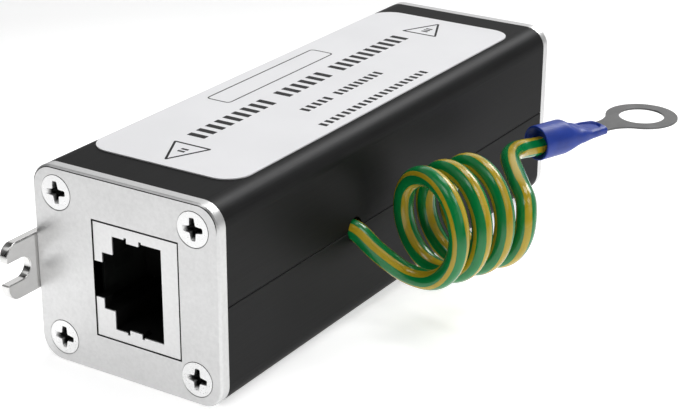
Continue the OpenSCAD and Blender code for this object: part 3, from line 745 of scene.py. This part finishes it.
# How far the sheath is turned about the wire, in degrees, at some distances
WIRE_TURNS = [(0, 9), (10, -2), (18, -25), (27, -48), (36, -38), (46, -46), (56, -76),
              (70, -103), (84, -89), (104, -137), (124, -141), (152, -203), (163, -172),
              (172, -183)]


def coil_point(turn):
    """Point of the coil's centreline at an angle of its turns."""
    axis = Vector((sin(COIL_ANGLE), cos(COIL_ANGLE), 0))
    side = Vector((cos(COIL_ANGLE), -sin(COIL_ANGLE), 0))
    up = Vector((0, 0, 1))
    # Travel starts at the lowest point of the turns, a quarter turn before their side
    travel = COIL_PITCH * (turn / (2 * pi) + 0.25)
    return COIL_START + axis * travel + COIL_R * (cos(turn) * side + sin(turn) * up)


def smooth_through(points):
    """A smooth line through points that may lie unevenly."""
    ends = [2 * points[0] - points[1], *points, 2 * points[-1] - points[-2]]
    line = []
    for a, b, c, d in zip(ends, ends[1:], ends[2:], ends[3:]):
        t1 = (b - a).length ** 0.5
        t2 = t1 + (c - b).length ** 0.5
        t3 = t2 + (d - c).length ** 0.5
        for step in range(ROUTE_STEPS):
            t = t1 + (t2 - t1) * step / ROUTE_STEPS
            ab = a.lerp(b, t / t1)
            bc = b.lerp(c, (t - t1) / (t2 - t1))
            cd = c.lerp(d, (t - t2) / (t3 - t2))
            abc = ab.lerp(bc, t / t2)
            bcd = bc.lerp(cd, (t - t1) / (t3 - t1))
            line.append(abc.lerp(bcd, (t - t1) / (t2 - t1)))
    line.append(points[-1].copy())
    return line


def evenly(points, step):
    """The same line with its points at equal distances, and the distance of each."""
    marks = [0.0]
    for a, b in zip(points, points[1:]):
        marks.append(marks[-1] + (b - a).length)
    count = round(marks[-1] / step)
    line, along, i = [], [], 0
    for k in range(count + 1):
        s = marks[-1] * k / count
        while i < len(points) - 2 and marks[i + 1] < s:
            i += 1
        line.append(points[i].lerp(points[i + 1], (s - marks[i]) / (marks[i + 1] - marks[i])))
        along.append(s)
    return line, along


def relaxed(line, along):
    """Lets the free stretches before and after the coil ease out their bends."""
    end = along[-1]
    free = [limited(max(LEAD_LENGTH - s, s - end + TAIL_LENGTH) / RELAX_FADE) for s in along]
    free[0] = 0.0
    free[-FIXED_POINTS:] = [0.0] * FIXED_POINTS
    for _ in range(RELAX_PASSES):
        line = [
            p if f == 0.0 else p + ((line[i - 1] + line[i + 1]) / 2 - p) * (f * RELAX_SHARE)
            for i, (p, f) in enumerate(zip(line, free))
        ]
    return line


def wire_centreline():
    """The wire's middle line from inside its hole to the terminal's barrel."""
    lead, tail = ([HOLE + Vector(p) for p in route] for route in (LEAD_ROUTE, TAIL_ROUTE))
    coil = [coil_point(COIL_FIRST + (COIL_LAST - COIL_FIRST) * i / COIL_STEPS)
            for i in range(COIL_STEPS + 1)]
    return relaxed(*evenly(smooth_through(lead + coil + tail), WIRE_STEP))


def sheath_tree():
    """Round sheath swept along a wire, which carries its angle for the stripes."""
    tree = Tree("wire_sheath", [
        ("Radius", "Float", 0.0), ("Sides", "Int", 3), ("Material", "Material", None)])
    ring = tree.add("GeometryNodeCurvePrimitiveCircle", {
        "Resolution": tree.inputs["Sides"], "Radius": tree.inputs["Radius"]})
    place = tree.add("GeometryNodeInputPosition")
    direction = tree.add("ShaderNodeVectorMath", {0: place}, operation="NORMALIZE")
    marked = tree.add("GeometryNodeStoreNamedAttribute", {
        "Geometry": ring, "Name": "around", "Value": direction},
        data_type="FLOAT_VECTOR", domain="POINT")
    tube = tree.add("GeometryNodeCurveToMesh", {
        "Curve": tree.inputs["Geometry"], "Profile Curve": marked, "Fill Caps": True})
    return tree.finish(tree.add("GeometryNodeSetShadeSmooth", {"Geometry": tube}))


def earth_wire():
    """The wire as one piece, with its path and its length in metres."""
    line = wire_centreline()
    curve = bpy.data.curves.new("wire_path", "CURVE")
    curve.dimensions = "3D"
    curve.twist_mode = "MINIMUM"
    spline = curve.splines.new("POLY")
    spline.points.add(len(line) - 1)
    for i, (point, place) in enumerate(zip(spline.points, line)):
        point.co = (*(place * MM), 1.0)
        point.tilt = radians(soft_lookup(i * WIRE_STEP, WIRE_TURNS))
    mesh = grow(sheath_tree(), curve, {
        "Radius": WIRE_D / 2 * MM, "Sides": SHEATH_SIDES,
        "Material": striped_insulation("striped_insulation", sheath_angle)})
    piece = add_piece("earth_wire", mesh,
                      stands_for=("earth_lead", "earth_coil", "earth_tail"))
    length = sum((b - a).length for a, b in zip(line, line[1:]))
    return piece, [place * MM for place in line], length * MM


# Sleeve of the ring terminal, in its own frame: its length along Y, sizes in mm

SLEEVE_MOUTH = HOLE + Vector((8.5, 32.75, 2.8))
TERMINAL_ANGLE = radians(20.5)
SLEEVE_L = 12.2
SLEEVE_D = 4.85
SLEEVE_WALL = 0.27
# Where the funnel in the mouth ends, at the wire
FUNNEL_Y, FUNNEL_R = 0.9, 1.38
# Along the sleeve: half its width and height, and how far its middle drops and shifts
HALF_WIDTHS = [(0, 2.425), (4.5, 2.425), (7, 2.4), (9.5, 2.2), (12.2, 1.9)]
HALF_HEIGHTS = [(0, 2.425), (4.2, 2.425), (7, 1.2), (9.5, 0.75), (12.2, 0.7)]
DROPS = [(0, 0), (4.5, 0), (7, 0.12), (9.5, 0.33), (12.2, 0.45)]
SHIFTS = [(0, 0), (4.5, 0), (12.2, -0.4)]
# How much squarer than an ellipse the flat end is
SQUARING = 1.6
# Radii of the mouth's lip and of the flat end's edge
LIP_R, END_R = 0.13, 0.12
SLEEVE_SIDES = 128
FUNNEL_STEPS, LIP_STEPS, BARREL_STEPS, END_STEPS = 8, 6, 180, 3
# The press mark on top: its middle, half its length and width, how deep it is, the width of
# its edge, and how deep and how far out the groove is that runs round it
PRESS_X, PRESS_Y = -0.35, 10.15
PRESS_LENGTH, PRESS_WIDTH = 1.95, 1.45
PRESS_DEPTH, PRESS_EDGE = 0.26, 0.12
PRESS_GROOVE, GROOVE_AWAY = 0.14, 0.9


def to_terminal(point):
    """From the terminal's own frame to the object's, in metres."""
    return (SLEEVE_MOUTH + Matrix.Rotation(-TERMINAL_ANGLE, 3, "Z") @ Vector(point)) * MM


def swell(value, power):
    """A sine or cosine for an outline of some power: 2 is round, and more is squarer."""
    return copysign(abs(value) ** (2 / power), value)


def press_mark(x, y):
    """How far the press mark goes into the top of the sleeve."""
    away = (((x - PRESS_X) / PRESS_WIDTH) ** 2 + ((y - PRESS_Y) / PRESS_LENGTH) ** 2) ** 0.5
    hollow = PRESS_DEPTH * limited((1.0 - away) / PRESS_EDGE)
    return hollow + PRESS_GROOVE * limited(1.0 - abs(away - GROOVE_AWAY) / PRESS_EDGE)


def sleeve_ring(place, shrink=0.0, y=None):
    """The sleeve's outline at a place of its length, drawn in by shrink and moved to y."""
    width = soft_lookup(place, HALF_WIDTHS)
    height = soft_lookup(place, HALF_HEIGHTS)
    shift = soft_lookup(place, SHIFTS)
    power = 2 + SQUARING * (1 - height / (SLEEVE_D / 2))
    ring = []
    for turn in turns(SLEEVE_SIDES):
        x = (width - shrink) * swell(cos(turn), power) + shift
        z = (height - shrink) * swell(sin(turn), power) - soft_lookup(place, DROPS)
        if sin(turn) > 0:
            z -= press_mark(x, place)
        ring.append((x, place if y is None else y, z))
    return ring


def mouth_ring(radius, y):
    """A round ring in the mouth of the sleeve."""
    return [(radius * cos(turn), y, radius * sin(turn)) for turn in turns(SLEEVE_SIDES)]


def leans(steps):
    """Angles from zero to a right angle."""
    return [pi / 2 * step / steps for step in range(steps + 1)]


def sleeve_mesh():
    """Funnel from the wire to the mouth, rounded lip, outside and flat far end."""
    bore = SLEEVE_D / 2 - SLEEVE_WALL
    rings = []
    for step in range(FUNNEL_STEPS + 1):
        rest = 1 - step / FUNNEL_STEPS
        rings.append(mouth_ring(bore + (FUNNEL_R - bore) * rest,
                                LIP_R + (FUNNEL_Y - LIP_R) * rest))
    for lean in leans(LIP_STEPS)[1:]:
        rings.append(mouth_ring(bore + LIP_R * (1 - cos(lean)), LIP_R * (1 - sin(lean))))
    for lean in leans(LIP_STEPS):
        rings.append(sleeve_ring(LIP_R, LIP_R * (1 - sin(lean)), LIP_R * (1 - cos(lean))))
    for step in range(1, BARREL_STEPS + 1):
        rings.append(sleeve_ring(LIP_R + (SLEEVE_L - END_R - LIP_R) * step / BARREL_STEPS))
    for lean in leans(END_STEPS)[1:]:
        rings.append(sleeve_ring(SLEEVE_L, END_R * (1 - cos(lean)),
                                 SLEEVE_L - END_R * (1 - sin(lean))))
    placed = [[to_terminal(point) for point in ring] for ring in rings]
    return outward(skinned("terminal_sleeve", placed), smooth=True)


# Screws, sizes in mm

HEAD_H = 1.0
SHANK_R = 1.25
# Depth and radius down the head: its rim, and the cone that ends at the shank
HEAD_PROFILE = [(0.0, HEAD_R - 0.06), (0.03, HEAD_R - 0.018), (0.08, HEAD_R),
                (0.14, HEAD_R - 0.03), (HEAD_H - 0.12, SHANK_R + 0.1)]
THREAD_PITCH = 0.45
THREAD_DEPTH = 0.16
# Rings of points in one turn of the thread
THREAD_STEPS = 4
# How far below the head the thread starts, and over what lengths it fades in and out
THREAD_START, THREAD_IN, THREAD_OUT = 0.1, 0.3, 0.5
# Length of the tapered tip, and how much of that the radius loses
TIP_L, TIP_TAPER = 0.35, 0.8
SCREW_SIDES = 40
# An edge of a screw of more than this angle stays sharp, in degrees
SCREW_SHARP = 30
# A quarter of the outline of the driver's cross, and its depths with their scale
CROSS = [(1.4, 0.24), (1.3, 0.33), (0.52, 0.42), (0.42, 0.52), (0.33, 1.3), (0.24, 1.4)]
CROSS_LEVELS = [(-0.1, 1.03), (0.0, 1.0), (0.35, 0.86), (0.7, 0.6), (0.9, 0.2)]


def screw_radius(z, turn, length):
    """Radius of the threaded shank at a depth below the head and an angle."""
    part = (z / THREAD_PITCH - turn / (2 * pi)) % 1.0
    crest = 1 - abs(2 * part - 1)
    fade = min(limited((z - HEAD_H - THREAD_START) / THREAD_IN),
               limited((length - z) / THREAD_OUT))
    tip = max(0.0, TIP_L - (length - z)) * TIP_TAPER
    return SHANK_R - THREAD_DEPTH * (1 - crest * fade) - tip


def round_point(radius, turn, z):
    """A point about the Z axis, in metres."""
    return mm(radius * cos(turn), radius * sin(turn), z)


def screw_blank(length):
    """Countersunk head and threaded shank along +Z, its face at z = 0."""
    rings = [[round_point(radius, turn, z) for turn in turns(SCREW_SIDES)]
             for z, radius in HEAD_PROFILE]
    count = round((length - HEAD_H) / (THREAD_PITCH / THREAD_STEPS))
    for i in range(count + 1):
        z = HEAD_H + (length - HEAD_H) * i / count
        rings.append([round_point(screw_radius(z, turn, length), turn, z)
                      for turn in turns(SCREW_SIDES)])
    return outward(skinned("screw_blank", rings))


def cross_cutter():
    """Tapered cross that the driver's recess is cut with."""
    outline = []
    for quarter in range(4):
        turn = Matrix.Rotation(quarter * pi / 2, 2)
        outline += [turn @ Vector(p) for p in CROSS]
    rings = [[mm(p.x * scale, p.y * scale, z) for p in outline] for z, scale in CROSS_LEVELS]
    return outward(skinned("cross_cutter", rings))


def cut_screw(length):
    """One screw with its recess, which carries its own place for the turned rings."""
    blank = new_object("screw_blank", screw_blank(length))
    cutter = new_object("cross_cutter", cross_cutter())
    cut = blank.modifiers.new("recess", "BOOLEAN")
    cut.operation = "DIFFERENCE"
    cut.solver = "EXACT"
    cut.object = cutter
    mesh = settled(blank)
    bpy.data.objects.remove(cutter)
    outward(mesh, smooth=True, sharp=SCREW_SHARP)
    local = mesh.attributes.new("turned", "FLOAT_VECTOR", "POINT")
    local.data.foreach_set("vector", [c / MM for v in mesh.vertices for c in v.co])
    return mesh


def screw_tree():
    """A screw at each point, all turned one way, each with a small chance spin."""
    tree = Tree("screws_at_holes", [
        ("Screw", "Object", None), ("Turn", "Rotation", None), ("Spin", "Float", 0.0),
        ("Seed", "Int", 0), ("Material", "Material", None)])
    screw = tree.add("GeometryNodeObjectInfo", {
        "Object": tree.inputs["Screw"], "As Instance": True})
    placed = tree.add("GeometryNodeInstanceOnPoints", {
        "Points": tree.inputs["Geometry"], "Instance": screw.outputs["Geometry"],
        "Rotation": tree.inputs["Turn"]})
    back = tree.add("ShaderNodeMath", {0: tree.inputs["Spin"], 1: -1.0}, operation="MULTIPLY")
    # Inputs 2 and 3 are the least and the most of a plain number, and output 1 is that number
    chance = tree.add("FunctionNodeRandomValue", {
        2: back, 3: tree.inputs["Spin"], "Seed": tree.inputs["Seed"]}, data_type="FLOAT")
    about = tree.add("ShaderNodeCombineXYZ", {"Z": chance.outputs[1]})
    return tree.finish(tree.add("GeometryNodeRotateInstances", {
        "Instances": placed, "Rotation": about, "Local Space": True}))


def place_screws(tree, finish, name, length, places, turn, spin, seed):
    """Runs the screw tree on a set of holes; turn is the way into the case."""
    master = new_object("screw", cut_screw(length))
    holes = mesh_from("holes", [mm(*place) for place in places], [])
    mesh = grow(tree, holes, {"Screw": master, "Turn": turn, "Spin": spin, "Seed": seed,
                              "Material": finish})
    bpy.data.objects.remove(master)
    return add_piece(name + "_set", mesh, stands_for=(name,))


# Label print, sizes in mm

LABEL_TOP = 25.55
INK = 0.02
CORNER_STEPS = 4


def rounded(points, radius):
    """Closed outline with its corners rounded off."""
    line = []
    for i, corner in enumerate(points):
        corner = Vector(corner)
        before = (Vector(points[i - 1]) - corner).normalized()
        after = (Vector(points[(i + 1) % len(points)]) - corner).normalized()
        start, end = corner + before * radius, corner + after * radius
        for step in range(CORNER_STEPS + 1):
            t = step / CORNER_STEPS
            line.append(start.lerp(corner, t).lerp(corner.lerp(end, t), t))
    return line


# Outlines of the print: direction triangles and a blank field, with their stroke
OUTLINES = [
    (rounded([(-2.96, -26.7), (2.25, -26.7), (-0.3, -32.0)], 0.12), 0.3),
    (rounded([(-3.12, 27.1), (2.14, 27.1), (-0.4, 32.5)], 0.12), 0.3),
    (rounded([(-9.2, -12), (-5.7, -12), (-5.7, 12.4), (-9.2, 12.4)], 0.6), 0.18),
]
# Rows of plain dashes: where across, from, to, the dashes' length and their count
ROWS = [
    (-1.85, -24.6, -8.3, 2.6, 9), (-1.85, -6.3, 4.9, 2.6, 6), (-1.85, 6.6, 24.7, 2.6, 10),
    (3.9, -9.5, -3.0, 1.4, 5), (3.9, -1.8, 9.2, 1.4, 9),
    (8.8, -12.8, 12.9, 1.2, 20), (-0.3, -29.4, -27.9, 1.0, 2), (-0.35, 28.1, 30.1, 1.0, 3),
]
# The part of a dash's place in its row that is inked
DASH_SHARE = 0.5


def stroke_tree():
    """Flat printed strokes along drawn lines, each of its own width."""
    tree = Tree("printed_strokes", [
        ("Ink", "Float", 0.0), ("Level", "Float", 0.0), ("Material", "Material", None)])
    lines = tree.add("GeometryNodeMeshToCurve", {"Mesh": tree.inputs["Geometry"]})
    width = tree.add("GeometryNodeInputNamedAttribute", {"Name": "stroke"}, data_type="FLOAT")
    # A square of one metre, which the stroke's width scales down
    outline = tree.add("GeometryNodeCurvePrimitiveQuadrilateral", {"Width": 1.0, "Height": 1.0})
    sweep = tree.add("GeometryNodeCurveToMesh", {
        "Curve": lines, "Profile Curve": outline, "Scale": width, "Fill Caps": True})
    place = tree.add("GeometryNodeInputPosition")
    parts = tree.add("ShaderNodeSeparateXYZ", {"Vector": place}).outputs
    upper = tree.add("ShaderNodeMath", {0: parts["Z"], 1: tree.inputs["Level"]},
                     operation="GREATER_THAN")
    height = tree.add("ShaderNodeMath", {
        0: upper, 1: tree.inputs["Ink"], 2: tree.inputs["Level"]}, operation="MULTIPLY_ADD")
    flat = tree.add("ShaderNodeCombineXYZ", {"X": parts["X"], "Y": parts["Y"], "Z": height})
    return tree.finish(tree.add("GeometryNodeSetPosition", {
        "Geometry": sweep, "Position": flat}))


def label_print():
    """The printed outlines and rows of dashes as one thin piece on the label."""
    points, edges, widths = [], [], []
    for outline, stroke in OUTLINES:
        first = len(points)
        points += [mm(p.x, p.y, LABEL_TOP) for p in outline]
        widths += [stroke * MM] * len(outline)
        edges += [(first + i, first + (i + 1) % len(outline)) for i in range(len(outline))]
    for x, start, end, height, count in ROWS:
        pitch = (end - start) / count
        for k in range(count):
            y = start + (k + 0.5) * pitch
            edges.append((len(points), len(points) + 1))
            points += [mm(x - height / 2, y, LABEL_TOP), mm(x + height / 2, y, LABEL_TOP)]
            widths += [DASH_SHARE * pitch * MM] * 2
    drawing = bpy.data.meshes.new("drawing")
    drawing.from_pydata([tuple(p) for p in points], edges, [])
    drawing.attributes.new("stroke", "FLOAT", "POINT").data.foreach_set("value", widths)
    mesh = grow(stroke_tree(), drawing, {
        "Ink": INK * MM, "Level": LABEL_TOP * MM, "Material": printing_ink()})
    return add_piece("label_print", outward(mesh))


# Assembly, sizes in mm

# Radius of the eased edges of each sort of piece
RING_EASE, PLATE_EASE, STRIP_EASE, SHIELD_EASE = 0.04, 0.06, 0.16, 0.05
# Screws of the plates: their length, and how far they are from the middle of the plate
PLATE_SCREW_L, PLATE_SCREW_X, PLATE_SCREW_Z = 9, 9.95, 9.4
# Screws of the strip: their length, and how far they are from the middle of the strip
STRIP_SCREW_L, STRIP_SCREW_Y, STRIP_SCREW_Z = 3, 27, 4
# The most that a screw of the plates, and of the strip, is turned by chance, in radians
PLATE_SPIN, STRIP_SPIN = 0.10, 0.5
MID_Z, FACE_Y, STRIP_FACE_X, STRIP_Z = 12.7, 40.6, -14.7, 12.5
FOUR_WAYS = [(a, b) for a in (-1, 1) for b in (-1, 1)]

wire, wire_path, wire_length = earth_wire()
sleeve = add_piece("insulating_sleeve", sleeve_mesh(), blue_vinyl(),
                   stands_for=("terminal_sleeve",))
ring = eased_piece("ring_tongue", "ring_terminal", RING_EASE, dull_tin())

plate_finish = satin_aluminium()
eased_piece("input_plate", "front_plate", PLATE_EASE, plate_finish)
eased_piece("output_plate", "rear_plate", PLATE_EASE, plate_finish)
eased_piece("fixing_strip", "mounting_strip", STRIP_EASE, bright_nickel())

front, rear = ([(a * PLATE_SCREW_X, face, MID_Z + b * PLATE_SCREW_Z) for a, b in FOUR_WAYS]
               for face in (-FACE_Y, FACE_Y))
side = [(STRIP_FACE_X, a * STRIP_SCREW_Y, STRIP_Z + b * STRIP_SCREW_Z) for a, b in FOUR_WAYS]
hole_tree = screw_tree()
zinc = bright_zinc()
# Sets of screws: node, length, holes, the turn into the case, chance spin and its seed
for screws in (
    ("front_plate_screws", PLATE_SCREW_L, front, (-pi / 2, 0, 0), PLATE_SPIN, 4),
    ("rear_plate_screws", PLATE_SCREW_L, rear, (pi / 2, 0, 0), PLATE_SPIN, 9),
    ("strip_screws", STRIP_SCREW_L, side, (0, pi / 2, 0), STRIP_SPIN, 5),
):
    place_screws(hole_tree, zinc, *screws)

sheet = tinned_sheet("tinned_sheet", 0.76, 0.34)
for node in ("input_jack_shield", "output_jack_shield"):
    eased_piece(node.replace("jack", "socket"), node, SHIELD_EASE, sheet)

label_print()

# Finishes of the CAD pieces


def coat(finish, *names):
    """Gives CAD nodes a finish."""
    for name in names:
        for slot in nodes[name].material_slots:
            slot.material = finish


coat(black_anodised(), "upper_shell", "lower_shell")
coat(label_film(), "label")
coat(black_moulding(), "input_jack_housing", "output_jack_housing",
     "input_jack_insert", "output_jack_insert")
coat(gold_plating(), "input_jack_contacts", "output_jack_contacts")
coat(board_laminate(), "circuit_board")
coat(tinned_sheet("solder_tin", 0.78, 0.28), "solder_cup")
coat(striped_insulation("striped_inner_end", straight_angle), "inner_earth_wire")
for number in range(1, 5):
    coat(gas_tube_finish(f"gas_tube_{number}"), f"gas_tube_{number}")
    coat(chip_finish(f"suppressor_{number}", SUPPRESSOR_BODY), f"suppressor_{number}")
for number in range(1, 9):
    coat(chip_finish(f"line_resistor_{number}", RESISTOR_BODY), f"line_resistor_{number}")

# Studio, sizes in metres

# Cards around the stage: the way to each, the angles where it ends, and its light
CARDS = [
    ((-0.50, 0.78, 0.386), 12, 30, 17.5),
    ((0.50, 0.80, 0.35), 20, 45, 10.0),
    ((-0.90, -0.10, 0.30), 20, 45, 5.5),
    ((0.70, -0.70, 0.25), 20, 45, 6.0),
    ((-0.50, -0.39, 0.78), 8, 18, 16.0),
]
AIR_LIGHT = 0.03
STAGE_MIDDLE = (0.0, 0.0, 0.012)
# Lamps: name, place, what it looks at, its width and its power in watts
LAMPS = [
    ("top_box", (-0.10, 0.28, 0.70), STAGE_MIDDLE, 0.30, 1.3),
    ("rear_box", (0.07, 0.62, 0.51), STAGE_MIDDLE, 0.30, 2.5),
    ("right_box", (0.60, -0.10, 0.45), STAGE_MIDDLE, 0.40, 0.6),
    ("front_lamp", (-0.03, -0.13, 0.26), (-0.03, -0.10, 0.0), 0.10, 0.10),
    ("right_lamp", (0.16, 0.0, 0.30), (0.03, 0.0, 0.0), 0.12, 0.21),
]
FLOOR_HALF = 3.0
# The floor's glow: its middle, the distances where it fades, and its light there
GLOW_MIDDLE, GLOW_REACH, FLOOR_GLOW = (0, -0.02, 0), (0.045, 0.14), (0.6, 0.15)


def studio_air():
    """The light of the soft cards that stand round the stage."""
    world = bpy.data.worlds.new("studio_air")
    bpy.context.scene.world = world
    world.use_nodes = True
    tree = world.node_tree
    way = new_node(tree, "ShaderNodeTexCoord").outputs["Generated"]
    light = AIR_LIGHT
    for card, full, end, change in CARDS:
        near = new_node(tree, "ShaderNodeVectorMath", {0: way, 1: Vector(card).normalized()},
                        operation="DOT_PRODUCT")
        soft = new_node(tree, "ShaderNodeMapRange", {
            "Value": near.outputs["Value"], "From Min": cos(radians(end)),
            "From Max": cos(radians(full)), "To Max": change},
            interpolation_type="SMOOTHSTEP")
        light = new_node(tree, "ShaderNodeMath", {0: light, 1: soft}, operation="ADD")
    plug(tree, light, tree.nodes["Background"].inputs["Strength"])


def pale_floor():
    """Wide pale floor that glows a little under the object."""
    corners = [(a * FLOOR_HALF, b * FLOOR_HALF, 0) for a, b in FOUR_WAYS]
    mesh = mesh_from("floor", corners, [(0, 2, 3, 1)])
    f = Finish("pale_floor", IOR=1.4, Emission_Color=(1, 1, 1, 1))
    away = f.add("ShaderNodeVectorMath", {0: f.place, 1: GLOW_MIDDLE}, operation="DISTANCE")
    f.feed(Emission_Strength=f.ramp(away.outputs["Value"], *GLOW_REACH, *FLOOR_GLOW),
           Base_Color=f.blend(f.noise(0.01, 2, 0.5), grey(0.90), grey(0.93)),
           Roughness=f.ramp(f.noise(0.02, 2, 0.5), 0, 1, 0.6, 0.7))
    mesh.materials.append(f.material)
    new_object("floor", mesh)


def lamp(name, place, aim, width, power):
    """A square soft lamp that looks at a point."""
    data = bpy.data.lights.new(name, "AREA")
    data.size = width
    data.energy = power
    place, aim = Vector(place), Vector(aim)
    turn = (place - aim).to_track_quat("Z", "Y").to_matrix().to_4x4()
    new_object(name, data).matrix_world = Matrix.Translation(place) @ turn


bpy.context.scene.view_settings.view_transform = "Standard"
pale_floor()
studio_air()
for values in LAMPS:
    lamp(*values)
